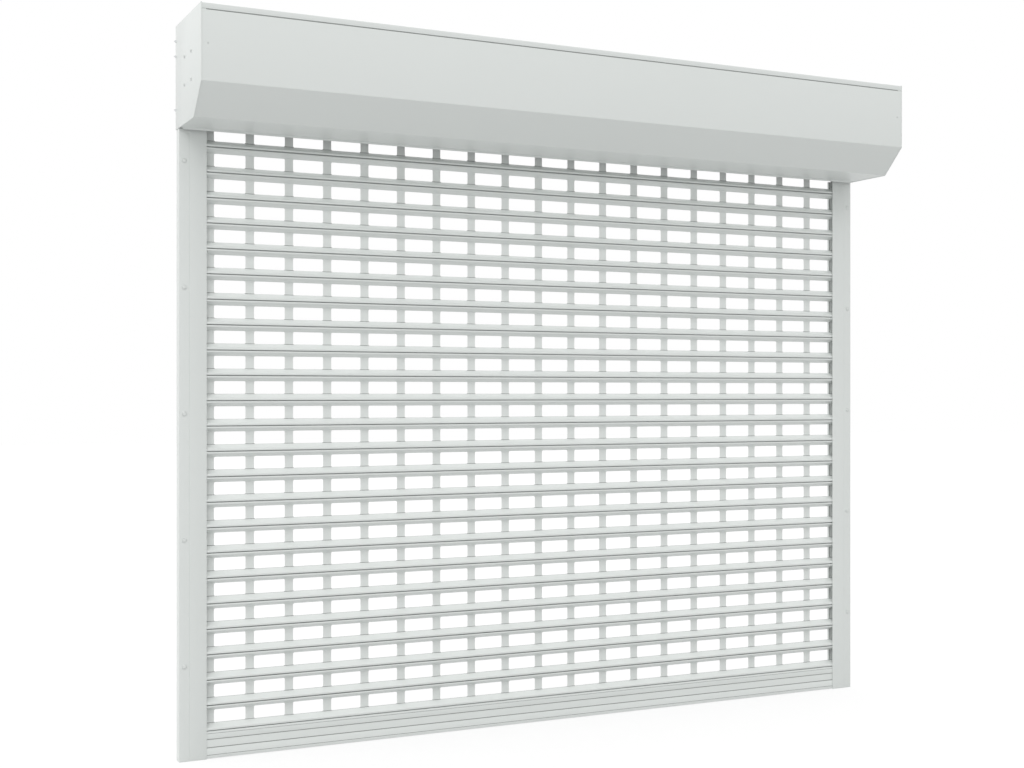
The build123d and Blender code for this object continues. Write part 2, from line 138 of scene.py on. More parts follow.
def draw_outline(points, rounded):
    """In edit mode, draws a closed line, with corners rounded by {radius: [points]}."""
    draw_line(points)
    select("verts", lambda v: len(v.link_edges) == 1)
    bpy.ops.mesh.edge_face_add()
    for radius, corners in rounded.items():
        select("verts", lambda v: any(near(v, c) for c in corners))
        steps = 2 if radius < FINE_BEVEL else 5
        bpy.ops.mesh.bevel(affect="VERTICES", offset=radius * 0.999, segments=steps)


def fill_and_extrude(step):
    """In edit mode, fills the drawn outlines and pulls the section to its length."""
    bpy.ops.mesh.select_all(action="SELECT")
    bpy.ops.mesh.fill(use_beauty=True)
    bpy.ops.mesh.select_all(action="SELECT")
    bpy.ops.mesh.extrude_region_move(TRANSFORM_OT_translate={"value": step})
    bpy.ops.mesh.select_all(action="SELECT")
    bpy.ops.mesh.normals_make_consistent(inside=False)


def finish_piece(piece, material, body, nodes=(), smooth=30.0):
    """Back in object mode: soft shading, its finish, and the body it moves with."""
    bpy.ops.object.mode_set(mode="OBJECT")
    bpy.ops.object.select_all(action="DESELECT")
    piece.select_set(True)
    bpy.context.view_layer.objects.active = piece
    bpy.ops.object.shade_smooth_by_angle(angle=math.radians(smooth))
    if material:
        piece.data.materials.append(material)
    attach(piece, body)
    if nodes:
        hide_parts(*nodes)


def mirrored(piece, name):
    """A copy for the other end, turned over about the middle of the width."""
    bpy.ops.object.select_all(action="DESELECT")
    other = piece.copy()
    other.data = piece.data.copy()
    other.name = name
    bpy.context.scene.collection.objects.link(other)
    other.select_set(True)
    bpy.context.view_layer.objects.active = other
    bpy.ops.object.mode_set(mode="EDIT")
    bpy.ops.mesh.select_all(action="SELECT")
    bpy.ops.transform.mirror(orient_type="GLOBAL", constraint_axis=(True, False, False),
                             center_override=(0, 0, 0))
    bpy.ops.mesh.normals_make_consistent(inside=False)
    bpy.ops.object.mode_set(mode="OBJECT")
    return other


def plan(x, w):
    """A point at the floor, from its x and its distance from the wall."""
    return (x * MM, (WALL_Y - w) * MM, 0)


SLOT_FRONT = GUIDE_DEPTH - GUIDE_WALL
CHAMBER_OUT_X = GUIDE_OUT_X - GUIDE_WALL
guide_outline = [
    (GUIDE_IN_X, 0), (GUIDE_OUT_X, 0), (GUIDE_OUT_X, GUIDE_DEPTH),
    (SLOT_OUT_X + 0.5, GUIDE_DEPTH), (SLOT_OUT_X, 33.3), (SLOT_OUT_X - 0.5, GUIDE_DEPTH),
    (GUIDE_IN_X, GUIDE_DEPTH), (GUIDE_IN_X, SLOT_FRONT), (SLOT_OUT_X, SLOT_FRONT),
    (SLOT_OUT_X, GUIDE_WALL), (1303, GUIDE_WALL), (1303, 7), (1298, 7), (1298, 5.3), (1301, 5.3),
    (1301, GUIDE_WALL), (1292, GUIDE_WALL), (1292, 5.3), (1295, 5.3), (1295, 7), (GUIDE_IN_X, 7),
]
chamber_outline = [(CHAMBER_IN_X, GUIDE_WALL), (CHAMBER_OUT_X, GUIDE_WALL),
                   (CHAMBER_OUT_X, SLOT_FRONT), (CHAMBER_IN_X, SLOT_FRONT)]
right_guide = start_piece("guide_extrusion_right")
draw_outline([plan(*p) for p in guide_outline], {
    GUIDE_OUTER_R * MM: [plan(GUIDE_OUT_X, GUIDE_DEPTH)],
    GUIDE_INNER_R * MM: [plan(GUIDE_OUT_X, 0),
                         *(plan(GUIDE_IN_X, w) for w in (GUIDE_DEPTH, SLOT_FRONT, 0, 7))],
})
draw_outline([plan(*p) for p in chamber_outline], {})
fill_and_extrude((0, 0, GUIDE_TOP * MM))
bpy.ops.object.mode_set(mode="OBJECT")

FIXING_COUNT = 5
FIXING_LOW_Z = 309.0
FIXING_STEP = 415.0
FIXING_Z = [FIXING_LOW_Z + i * FIXING_STEP for i in range(FIXING_COUNT)]
FIXING_X = 1365.5
FIXING_HOLE_R = 4.25
DRILL_LENGTH = 8.0
bpy.ops.object.select_all(action="DESELECT")
for z in FIXING_Z:
    bpy.ops.mesh.primitive_cylinder_add(vertices=32, radius=FIXING_HOLE_R * MM,
                                        depth=DRILL_LENGTH * MM,
                                        location=(FIXING_X * MM, WALL_Y * MM, z * MM),
                                        rotation=(math.pi / 2, 0, 0))
    drill = bpy.context.object
    cut = right_guide.modifiers.new("fixing", "BOOLEAN")
    cut.object = drill
    bpy.context.view_layer.objects.active = right_guide
    bpy.ops.object.modifier_apply(modifier="fixing")
    bpy.data.objects.remove(drill)

left_guide = mirrored(right_guide, "guide_extrusion_left")
finish_piece(right_guide, guide_coat, "frame", ["right_guide"])
finish_piece(left_guide, guide_coat, "frame", ["left_guide"])

# Plugs. Small domed caps of moulded nylon in the guides' colour, pressed into the front holes
# over the wall screws, five on each guide. Each has a thin rim round its dome.
plug_nylon = powder_coat("plug_nylon", tuple(c * 0.98 for c in WHITE), roughness=0.42)
PLUG_R = 8.5
PLUG_THICK = 2.8
PLUG_UP = 3.0
PLUG_INWARDS = 0.8
PLUG_EDGE_R = 0.6
RIM_WIDTH = 0.9
RIM_GROOVE_WIDTH = 0.5
RIM_GROOVE_DEPTH = 1.0
DOME_RISE = 2.0
DOME_R = 1.5
for side, sign in (("left", -1), ("right", 1)):
    for number, z in enumerate(FIXING_Z, 1):
        bpy.ops.object.select_all(action="DESELECT")
        place = (sign * (FIXING_X - PLUG_INWARDS) * MM, (WALL_Y - GUIDE_DEPTH) * MM,
                 (z + PLUG_UP) * MM)
        bpy.ops.mesh.primitive_cylinder_add(vertices=40, radius=PLUG_R * MM,
                                            depth=PLUG_THICK * MM, rotation=(math.pi / 2, 0, 0))
        plug = bpy.context.object
        plug.name = f"fixing_plug_{side}_{number}"
        bpy.ops.object.transform_apply(location=False, rotation=True, scale=False)
        bpy.ops.object.mode_set(mode="EDIT")
        front = -PLUG_THICK / 2
        select("edges", lambda e: all(v.co.y < (front + 0.1) * MM for v in e.verts))
        bpy.ops.mesh.bevel(offset=PLUG_EDGE_R * MM, segments=3)
        select("faces", lambda f: f.normal.y < -0.99)
        bpy.ops.mesh.inset(thickness=RIM_WIDTH * MM)
        sink = (0, RIM_GROOVE_DEPTH * MM, 0)
        bpy.ops.mesh.extrude_region_move(TRANSFORM_OT_translate={"value": sink})
        bpy.ops.mesh.inset(thickness=RIM_GROOVE_WIDTH * MM)
        rise = (0, -DOME_RISE * MM, 0)
        bpy.ops.mesh.extrude_region_move(TRANSFORM_OT_translate={"value": rise})
        dome_top = front + RIM_GROOVE_DEPTH - DOME_RISE
        select("edges", lambda e: all(v.co.y < (dome_top + 0.1) * MM for v in e.verts))
        bpy.ops.mesh.bevel(offset=DOME_R * MM, segments=5)
        bpy.ops.mesh.select_all(action="SELECT")
        bpy.ops.transform.translate(value=place)
        finish_piece(plug, plug_nylon, "frame", smooth=50.0)

# End plates. Square steel plates with the lower front corner cut at 45 degrees and a flange
# folded inwards all round, which the covers are screwed to. They carry the barrel's brackets.
box_coat = powder_coat("box_coat", WHITE, roughness=0.38, peel_depth=0.06)
HEIGHT = 2417.0
BOX_LOW = 2076.0
BOX_FRONT = 341.0
CHAMFER = 98.0
PLATE_OUT_X = 1385.0
PLATE_T = 3.0
PLATE_IN_X = PLATE_OUT_X - PLATE_T
PLATE_EDGE_R = 0.5
FLANGE_SETBACK = 2.7
FLANGE_T = 2.0
FLANGE_DEPTH = 14.0


def side_view(w, z, x=PLATE_OUT_X):
    """A point from its distance from the wall and its height."""
    return (x * MM, (WALL_Y - w) * MM, z * MM)


plate_outline = [(0, BOX_LOW), (BOX_FRONT - CHAMFER, BOX_LOW), (BOX_FRONT, BOX_LOW + CHAMFER),
                 (BOX_FRONT, HEIGHT), (0, HEIGHT)]
right_plate = start_piece("end_plate_pressing_right")
draw_outline([side_view(*p) for p in plate_outline], {})
fill_and_extrude((-PLATE_T * MM, 0, 0))
select("edges", lambda e: all(v.co.x > (PLATE_OUT_X - 0.1) * MM for v in e.verts)
       and e.calc_face_angle(0) > 1)
bpy.ops.mesh.bevel(offset=PLATE_EDGE_R * MM, segments=2)
select("faces", lambda f: f.normal.x < -0.99)
bpy.ops.mesh.inset(thickness=FLANGE_SETBACK * MM)
bpy.ops.mesh.inset(thickness=FLANGE_T * MM)
inner = [f.index for f in bmesh.from_edit_mesh(right_plate.data).faces if f.select]
flange_y = (WALL_Y - FLANGE_SETBACK + 0.1) * MM
select("faces", lambda f: f.normal.x < -0.99 and f.index not in inner
       and f.calc_center_median().x < (PLATE_IN_X + 0.1) * MM
       and max(abs(v.co.y) for v in f.verts) < flange_y)
bpy.ops.mesh.extrude_region_move(TRANSFORM_OT_translate={"value": (-FLANGE_DEPTH * MM, 0, 0)})
bpy.ops.object.mode_set(mode="OBJECT")
left_plate = mirrored(right_plate, "end_plate_pressing_left")
finish_piece(right_plate, box_coat, "frame", ["right_end_plate"])
finish_piece(left_plate, box_coat, "frame", ["left_end_plate"])

# Screws in the end plates. Painted button heads hold the barrel's brackets, four in a square round
# the shaft. Three zinc plated ones with high heads, near the back edge, hold the rear cover.
painted_screw = powder_coat("painted_screw", tuple(c * 0.9 for c in WHITE), roughness=0.3)
zinc = bpy.data.materials.new("zinc_plating")
zinc.use_nodes = True
zinc_shader = zinc.node_tree.nodes["Principled BSDF"]
zinc_shader.inputs["Metallic"].default_value = 0.85
zinc_place = zinc.node_tree.nodes.new("ShaderNodeTexCoord")
zinc_grain = zinc.node_tree.nodes.new("ShaderNodeTexNoise")
zinc_grain.inputs["Scale"].default_value = 900.0
zinc_tone = zinc.node_tree.nodes.new("ShaderNodeValToRGB")
zinc_tone.color_ramp.elements[0].color = (0.62, 0.64, 0.65, 1)
zinc_tone.color_ramp.elements[1].color = (0.80, 0.81, 0.81, 1)
zinc_wear = zinc.node_tree.nodes.new("ShaderNodeMapRange")
zinc_wear.inputs["To Min"].default_value = 0.32
zinc_wear.inputs["To Max"].default_value = 0.5
zinc.node_tree.links.new(zinc_place.outputs["Object"], zinc_grain.inputs["Vector"])
zinc.node_tree.links.new(zinc_grain.outputs["Fac"], zinc_tone.inputs["Fac"])
zinc.node_tree.links.new(zinc_grain.outputs["Fac"], zinc_wear.inputs["Value"])
zinc.node_tree.links.new(zinc_tone.outputs["Color"], zinc_shader.inputs["Base Color"])
zinc.node_tree.links.new(zinc_wear.outputs["Result"], zinc_shader.inputs["Roughness"])


def button_head(name, w, z, radius, height, sign):
    """A low domed head with a round socket, standing out of the end plate."""
    radius, height = radius * MM, height * MM
    bpy.ops.object.select_all(action="DESELECT")
    bpy.ops.mesh.primitive_cylinder_add(vertices=24, radius=radius, depth=height)
    head = bpy.context.object
    head.name = name
    bpy.ops.object.mode_set(mode="EDIT")
    select("edges", lambda e: all(v.co.z > 0 for v in e.verts))
    bpy.ops.mesh.bevel(offset=height * 0.85, segments=4)
    select("faces", lambda f: f.normal.z > 0.99)
    bpy.ops.mesh.inset(thickness=radius * 0.12)
    bpy.ops.mesh.extrude_region_move(TRANSFORM_OT_translate={"value": (0, 0, -height * 0.5)})
    bpy.ops.mesh.select_all(action="SELECT")
    bpy.ops.transform.translate(value=(0, 0, height / 2))
    bpy.ops.object.mode_set(mode="OBJECT")
    head.rotation_euler = (0, sign * math.pi / 2, 0)
    head.location = side_view(w, z, x=sign * PLATE_OUT_X)
    bpy.ops.object.transform_apply(location=True, rotation=True, scale=False)
    return head


SHAFT_W = 170.5
SHAFT_Z = 2246.5
SCREW_FROM_SHAFT = 45.0
BRACKET_SCREW_R = 6.0
BRACKET_SCREW_H = 3.2
FLANGE_SCREW_R = 4.2
FLANGE_SCREW_H = 7.0
FLANGE_SCREW_W = 6.0
FLANGE_SCREW_Z = (2140.0, 2316.0, 2366.0)
for side, sign in (("left", -1), ("right", 1)):
    number = 0
    for dw in (-SCREW_FROM_SHAFT, SCREW_FROM_SHAFT):
        for dz in (-SCREW_FROM_SHAFT, SCREW_FROM_SHAFT):
            number += 1
            head = button_head(f"bracket_screw_{side}_{number}", SHAFT_W + dw, SHAFT_Z + dz,
                               BRACKET_SCREW_R, BRACKET_SCREW_H, sign)
            finish_piece(head, painted_screw, "frame", smooth=50.0)

for side, sign in (("left", -1), ("right", 1)):
    for number, z in enumerate(FLANGE_SCREW_Z, 1):
        head = button_head(f"flange_screw_{side}_{number}", FLANGE_SCREW_W, z,
                           FLANGE_SCREW_R, FLANGE_SCREW_H, sign)
        finish_piece(head, zinc, "frame", smooth=50.0)

# Covers. Two long steel sheets, folded and powder coated. The rear one makes the back, the top and
# a short front flange with a hem. The front one laps behind that flange, makes the front, the
# chamfer and the bottom, and ends in front of the guides in a lip turned down and hemmed.
SHEET_T = 1.2
BEND_R = 1.6
LAP_BEND_R = 1.2
LIP_BEND_R = 1.3
HEM_R = 0.55


def folded_sheet(name, line, bends, half_width):
    """Extrudes a bent line along the width and gives it the sheet's thickness."""
    sheet = start_piece(name)
    draw_line([side_view(w, z, x=-half_width) for w, z in line])
    for radius, corners in bends.items():
        select("verts", lambda v: any(near(v, side_view(*c, x=-half_width)) for c in corners))
        bpy.ops.mesh.bevel(affect="VERTICES", offset=radius * MM, segments=4)
    bpy.ops.mesh.select_all(action="SELECT")
    bpy.ops.mesh.extrude_region_move(TRANSFORM_OT_translate={"value": (2 * half_width * MM, 0, 0)})
    bpy.ops.mesh.select_all(action="SELECT")
    bpy.ops.mesh.normals_make_consistent(inside=False)
    bpy.ops.object.mode_set(mode="OBJECT")
    thick = sheet.modifiers.new("thickness", "SOLIDIFY")
    thick.thickness = SHEET_T * MM
    thick.offset = 0
    bpy.ops.object.modifier_apply(modifier="thickness")
    return sheet


# Painted shade: the white coat at 0.55 of its brightness, put on faces in grooves and gaps where
# shade falls.
groove_painted_shade = powder_coat("groove_painted_shade", tuple(c * 0.55 for c in WHITE), roughness=0.7)


def paint_groove_shade(piece, coat, inside):
    """Gives the faces for which inside(w, z) is true a darker copy of the coat, as painted shade.
    """
    bpy.ops.object.select_all(action="DESELECT")
    piece.select_set(True)
    bpy.context.view_layer.objects.active = piece
    piece.data.materials.append(coat)
    piece.data.materials.append(groove_painted_shade)
    bpy.ops.object.mode_set(mode="EDIT")
    select("faces", lambda f: inside(WALL_Y - f.calc_center_median().y / MM,
                                     f.calc_center_median().z / MM))
    piece.active_material_index = 1
    bpy.ops.object.material_slot_assign()
    bpy.ops.object.mode_set(mode="OBJECT")


SHEET_BACK_W = 2.1
SHEET_FRONT_W = 338.9
BACK_LOW_Z = 2084.0
SHEET_TOP_Z = 2414.9
FRONT_FLANGE_Z = 2398.1
HEM_W = 337.65
HEM_TOP_Z = 2413.0
rear_line = [(SHEET_BACK_W, BACK_LOW_Z), (SHEET_BACK_W, SHEET_TOP_Z),
             (SHEET_FRONT_W, SHEET_TOP_Z), (SHEET_FRONT_W, FRONT_FLANGE_Z),
             (HEM_W, FRONT_FLANGE_Z), (HEM_W, HEM_TOP_Z)]
rear_sheet = folded_sheet("rear_cover_sheet", rear_line, {
    BEND_R: rear_line[1:3],
    HEM_R: rear_line[3:5],
}, PLATE_IN_X)
finish_piece(rear_sheet, box_coat, "frame", ["rear_cover"])

BOTTOM_Z = 2078.1
LIP_W = 49.5
CHAMFER_FOOT_W = 242.13
CHAMFER_TOP_Z = 2174.87
LAP_W = 336.2
LAP_LOW_Z = 2393.9
LAP_TOP_Z = 2405.5
front_line = [(LAP_W, LAP_TOP_Z), (LAP_W, LAP_LOW_Z), (SHEET_FRONT_W, LAP_LOW_Z),
              (SHEET_FRONT_W, CHAMFER_TOP_Z), (CHAMFER_FOOT_W, BOTTOM_Z), (LIP_W, BOTTOM_Z)]
front_sheet = folded_sheet("front_cover_sheet", front_line, {
    LAP_BEND_R: front_line[2:3],
    BEND_R: front_line[3:5],
}, PLATE_IN_X)
# Painted shade on the faces of the narrow gap behind the lapped flange.
paint_groove_shade(front_sheet, box_coat, lambda w, z: LAP_W + 0.5 < w < LAP_W + 1.8
           and LAP_LOW_Z + 0.1 < z < LAP_TOP_Z)
finish_piece(front_sheet, None, "frame", ["front_cover"])

LIP_LOW_Z = 2072.9
LIP_SHORTER = 9.0
HEM_WIDTH = 2.8
HEM_RISE = 4.0
lip_line = [(53, BOTTOM_Z - 0.2), (LIP_W, LIP_LOW_Z), (LIP_W - HEM_WIDTH, LIP_LOW_Z),
            (LIP_W - HEM_WIDTH, LIP_LOW_Z + HEM_RISE)]
lip = folded_sheet("front_cover_lip", lip_line, {LIP_BEND_R: lip_line[1:3]},
                   PLATE_IN_X - LIP_SHORTER)
finish_piece(lip, box_coat, "frame")

# Cover screws. Small painted steel heads with a shallow socket. One near each end holds the front
# cover to the end plate's flange.
COVER_SCREW_R = 3.0
COVER_SCREW_H = 1.8
COVER_SCREW_EDGE_R = 0.8
COVER_SCREW_RIM = 1.0
COVER_SCREW_X = 1362.0
COVER_SCREW_W = 340.0
COVER_SCREW_Z = 2292.0
for side, sign in (("left", -1), ("right", 1)):
    bpy.ops.object.select_all(action="DESELECT")
    bpy.ops.mesh.primitive_cylinder_add(vertices=24, radius=COVER_SCREW_R * MM,
                                        depth=COVER_SCREW_H * MM)
    screw = bpy.context.object
    screw.name = f"cover_screw_{side}"
    bpy.ops.object.mode_set(mode="EDIT")
    select("edges", lambda e: all(v.co.z > 0 for v in e.verts))
    bpy.ops.mesh.bevel(offset=COVER_SCREW_EDGE_R * MM, segments=3)
    select("faces", lambda f: f.normal.z > 0.99)
    bpy.ops.mesh.inset(thickness=COVER_SCREW_RIM * MM)
    sink = (0, 0, -COVER_SCREW_H / 2 * MM)
    bpy.ops.mesh.extrude_region_move(TRANSFORM_OT_translate={"value": sink})
    bpy.ops.object.mode_set(mode="OBJECT")
    screw.rotation_euler = (math.pi / 2, 0, 0)
    screw.location = side_view(COVER_SCREW_W, COVER_SCREW_Z, x=sign * COVER_SCREW_X)
    bpy.ops.object.transform_apply(location=True, rotation=True, scale=False)
    finish_piece(screw, painted_screw, "frame", smooth=50.0)

# Slats. Hollow aluminium extrusions, powder coated. Each hangs by its hook in the bead of the slat
# above, and a row of windows with rounded corners is punched through its flat web.
# Painted light: the slats' coat is the white coat made 3 % lighter, so the slats read as more
# brightly lit.
slat_coat = powder_coat("slat_coat", tuple(c * 1.03 for c in WHITE))
SLAT_COUNT = 24
SLAT_PITCH = 84.0
TOP_WINDOW_Z = 2089.3
SLAT_END_X = 1325.0
WEB_FRONT = 10.2
CURL_TOP = -17.5
BEAD_FRONT = 21.0
BEAD_BOTTOM = 63.7
FOOT_GROOVE = (41.1, 42.7)
CURL_R = 2.0
BEAD_R = 1.0
SLAT_EDGE_R = 0.5
WINDOW_COUNT = 19
WINDOW_FIRST_X = -1260.0
WINDOW_PITCH = 136.23
WINDOW_WIDTH = 107.3
WINDOW_HEIGHT = 42.6
WINDOW_UP = 0.4
WINDOW_CORNER_R = 4.6
PUNCH_DEPTH = 4.4


def slat_point(depth, drop):
    """A point of the section, from the web's front face and the window's upper edge."""
    return side_view(WEB_FRONT + depth, TOP_WINDOW_Z - drop, x=-SLAT_END_X)


slat_outline = [
    (8.5, CURL_TOP), (8.5, -25.6), (14.5, -25.6), (14.5, -23), (11.5, -23), (11.5, CURL_TOP),
    (BEAD_FRONT, CURL_TOP), (BEAD_FRONT, -12.3), (0, -1), (0, FOOT_GROOVE[0]),
    (-1.3, FOOT_GROOVE[0]), (-1.3, FOOT_GROOVE[1]), (0.6, FOOT_GROOVE[1]), (BEAD_FRONT, 57),
    (BEAD_FRONT, 63), (18.6, BEAD_BOTTOM), (13.5, BEAD_BOTTOM), (13.5, 61.6), (19.2, 61.6),
    (19.2, 57.96), (2.4, 46.9), (0, 48.6), (0, 61.6), (6.5, 61.6), (6.5, BEAD_BOTTOM),
    (-2, BEAD_BOTTOM), (-2, CURL_TOP),
]
slat = start_piece("slat_profile_01")
draw_outline([slat_point(*p) for p in slat_outline], {
    CURL_R * MM: [slat_point(BEAD_FRONT, CURL_TOP)],
    BEAD_R * MM: [slat_point(BEAD_FRONT, drop) for drop in (-12.3, 57)],
    SLAT_EDGE_R * MM: [slat_point(*p) for p in [
        (BEAD_FRONT, 63), (-2, CURL_TOP), (-2, BEAD_BOTTOM), (14.5, -25.6), (13.5, BEAD_BOTTOM),
        (6.5, BEAD_BOTTOM)]],
})
fill_and_extrude((2 * SLAT_END_X * MM, 0, 0))
bpy.ops.object.mode_set(mode="OBJECT")

bpy.ops.object.select_all(action="DESELECT")
bpy.ops.mesh.primitive_cube_add(size=1)
punch = bpy.context.object
punch.scale = (WINDOW_WIDTH * MM, PUNCH_DEPTH * MM, WINDOW_HEIGHT * MM)
punch.location = side_view(WEB_FRONT - 1, TOP_WINDOW_Z + WINDOW_UP - WINDOW_HEIGHT / 2,
                           x=WINDOW_FIRST_X + WINDOW_WIDTH / 2)
bpy.ops.object.transform_apply(location=True, rotation=False, scale=True)
bpy.ops.object.mode_set(mode="EDIT")
select("edges", lambda e: abs(e.verts[0].co.y - e.verts[1].co.y) > PUNCH_DEPTH / 2 * MM)
bpy.ops.mesh.bevel(offset=WINDOW_CORNER_R * MM, segments=5)
bpy.ops.object.mode_set(mode="OBJECT")
punch_row = punch.modifiers.new("row", "ARRAY")
punch_row.count = WINDOW_COUNT
punch_row.use_relative_offset = False
punch_row.use_constant_offset = True
punch_row.constant_offset_displace = (WINDOW_PITCH * MM, 0, 0)
bpy.ops.object.modifier_apply(modifier="row")
windows = slat.modifiers.new("windows", "BOOLEAN")
windows.object = punch
bpy.context.view_layer.objects.active = slat
bpy.ops.object.modifier_apply(modifier="windows")
bpy.data.objects.remove(punch)


def in_slat_groove(w, z):
    """True for the bead's foot groove and both sides of the seam between slats, for painted shade.
    """
    depth, drop = w - WEB_FRONT, TOP_WINDOW_Z - z
    at_foot = -1.5 < depth < -0.1 and FOOT_GROOVE[0] - 0.1 < drop < FOOT_GROOVE[1] + 0.1
    under_bead = BEAD_BOTTOM - 2.2 < drop < BEAD_BOTTOM + 0.1
    over_curl = abs(drop - CURL_TOP) < 0.1
    return at_foot or 13 < depth < 19 and (under_bead or over_curl)


# Painted shade in the groove at each bead's foot and in the seam between slats.
paint_groove_shade(slat, slat_coat, in_slat_groove)

slats = [slat]
for row in range(1, SLAT_COUNT):
    copy = slat.copy()
    copy.data = slat.data.copy()
    copy.name = f"slat_profile_{row + 1:02d}"
    bpy.context.scene.collection.objects.link(copy)
    bpy.ops.object.select_all(action="DESELECT")
    copy.select_set(True)
    bpy.context.view_layer.objects.active = copy
    copy.location = (0, 0, -row * SLAT_PITCH * MM)
    bpy.ops.object.transform_apply(location=True, rotation=False, scale=False)
    slats.append(copy)
for row, piece in enumerate(slats):
    finish_piece(piece, None, "top_slat" if row == 0 else "curtain",
                 [f"slat_{row + 1:02d}"])

# Bottom bar. A deeper aluminium extrusion on the last slat, with two fine grooves and a shallow
# recessed strip between two more along its front. A pocket below holds the soft seal.
# Painted light: the bar's coat is the white coat made 7.5 % lighter, standing in for more light
# near the floor.
bar_coat = powder_coat("bar_coat", tuple(c * 1.075 for c in WHITE))
BAR_BACK = 8.2
BAR_FRONT = 31.2
BAR_LOW = 2.0
BAR_TOP = 91.0
BAR_EDGE_R = 0.5
BAR_TOP_R = 1.0
LOW_GROOVE = (12.2, 13.5)
STRIP_LOW_GROOVE = (36.2, 38.8)
STRIP_HIGH_GROOVE = (63.3, 65.7)
HIGH_GROOVE = (83.2, 84.3)
bar_outline = [
    (BAR_BACK, BAR_LOW), (10, BAR_LOW), (10, 8), (29.4, 8), (29.4, BAR_LOW),
    (BAR_FRONT, BAR_LOW), (BAR_FRONT, LOW_GROOVE[0]), (29.2, LOW_GROOVE[0]),
    (29.2, LOW_GROOVE[1]), (BAR_FRONT, LOW_GROOVE[1]), (BAR_FRONT, STRIP_LOW_GROOVE[0]),
    (28.8, STRIP_LOW_GROOVE[0]), (28.8, STRIP_LOW_GROOVE[1]), (30.2, STRIP_LOW_GROOVE[1]),
    (30.2, STRIP_HIGH_GROOVE[0]), (28.8, STRIP_HIGH_GROOVE[0]), (28.8, STRIP_HIGH_GROOVE[1]),
    (BAR_FRONT, STRIP_HIGH_GROOVE[1]), (BAR_FRONT, HIGH_GROOVE[0]), (29.2, HIGH_GROOVE[0]),
    (29.2, HIGH_GROOVE[1]), (BAR_FRONT, HIGH_GROOVE[1]), (BAR_FRONT, BAR_TOP), (21.7, BAR_TOP),
    (21.7, 96.3), (24.7, 96.3), (24.7, 98.9), (18.7, 98.9), (18.7, BAR_TOP), (BAR_BACK, BAR_TOP),
]
bar_hollow = [(10, 15), (27.4, 15), (27.4, 89.2), (10, 89.2)]
bar = start_piece("bottom_bar_profile")
draw_outline([side_view(w, z, x=-SLAT_END_X) for w, z in bar_outline], {
    BAR_TOP_R * MM: [side_view(BAR_FRONT, BAR_TOP, x=-SLAT_END_X)],
    BAR_EDGE_R * MM: [side_view(w, z, x=-SLAT_END_X) for w, z in [
        (BAR_FRONT, BAR_LOW), (BAR_FRONT, STRIP_LOW_GROOVE[0]),
        (BAR_FRONT, STRIP_HIGH_GROOVE[1]), (BAR_BACK, BAR_LOW), (BAR_BACK, BAR_TOP)]],
})
draw_outline([side_view(w, z, x=-SLAT_END_X) for w, z in bar_hollow], {})
fill_and_extrude((2 * SLAT_END_X * MM, 0, 0))
bpy.ops.object.mode_set(mode="OBJECT")
BAR_GROOVES = (LOW_GROOVE, STRIP_LOW_GROOVE, STRIP_HIGH_GROOVE, HIGH_GROOVE)
# Painted shade on the faces inside the bar's four grooves.
paint_groove_shade(bar, bar_coat, lambda w, z: BAR_FRONT - 2.5 < w < BAR_FRONT - 0.1
           and any(low - 0.1 < z < high + 0.1 for low, high in BAR_GROOVES))
finish_piece(bar, None, "curtain", ["bottom_bar"])

# Inner parts, which show only from behind, from below or when the curtain moves. They keep the
# solids' shapes and get their own finishes of nylon, rubber, fibre, galvanised and turned steel.
def grained(name, low, high, scale, roughness, metallic=0.0, stretch=(1, 1, 1), relief=0.1):
    """A finish with a fine grain that changes tone, gloss and relief."""
    finish = bpy.data.materials.new(name)
    finish.use_nodes = True
    nodes, links = finish.node_tree.nodes, finish.node_tree.links
    shader = nodes["Principled BSDF"]
    shader.inputs["Metallic"].default_value = metallic
    place = nodes.new("ShaderNodeTexCoord")
    turn = nodes.new("ShaderNodeMapping")
    turn.inputs["Scale"].default_value = stretch
    grain = nodes.new("ShaderNodeTexNoise")
    grain.inputs["Scale"].default_value = scale
    grain.inputs["Detail"].default_value = 3.0
    tone = nodes.new("ShaderNodeValToRGB")
    tone.color_ramp.elements[0].position = 0.3
    tone.color_ramp.elements[1].position = 0.7
    tone.color_ramp.elements[0].color = (*low, 1)
    tone.color_ramp.elements[1].color = (*high, 1)
    gloss = nodes.new("ShaderNodeMapRange")
    gloss.inputs["To Min"].default_value = roughness - 0.08
    gloss.inputs["To Max"].default_value = roughness + 0.08
    bump = nodes.new("ShaderNodeBump")
    bump.inputs["Strength"].default_value = relief
    bump.inputs["Distance"].default_value = 0.0005
    links.new(place.outputs["Object"], turn.inputs["Vector"])
    links.new(turn.outputs["Vector"], grain.inputs["Vector"])
    links.new(grain.outputs["Fac"], tone.inputs["Fac"])
    links.new(grain.outputs["Fac"], gloss.inputs["Value"])
    links.new(grain.outputs["Fac"], bump.inputs["Height"])
    links.new(tone.outputs["Color"], shader.inputs["Base Color"])
    links.new(gloss.outputs["Result"], shader.inputs["Roughness"])
    links.new(bump.outputs["Normal"], shader.inputs["Normal"])
    return finish


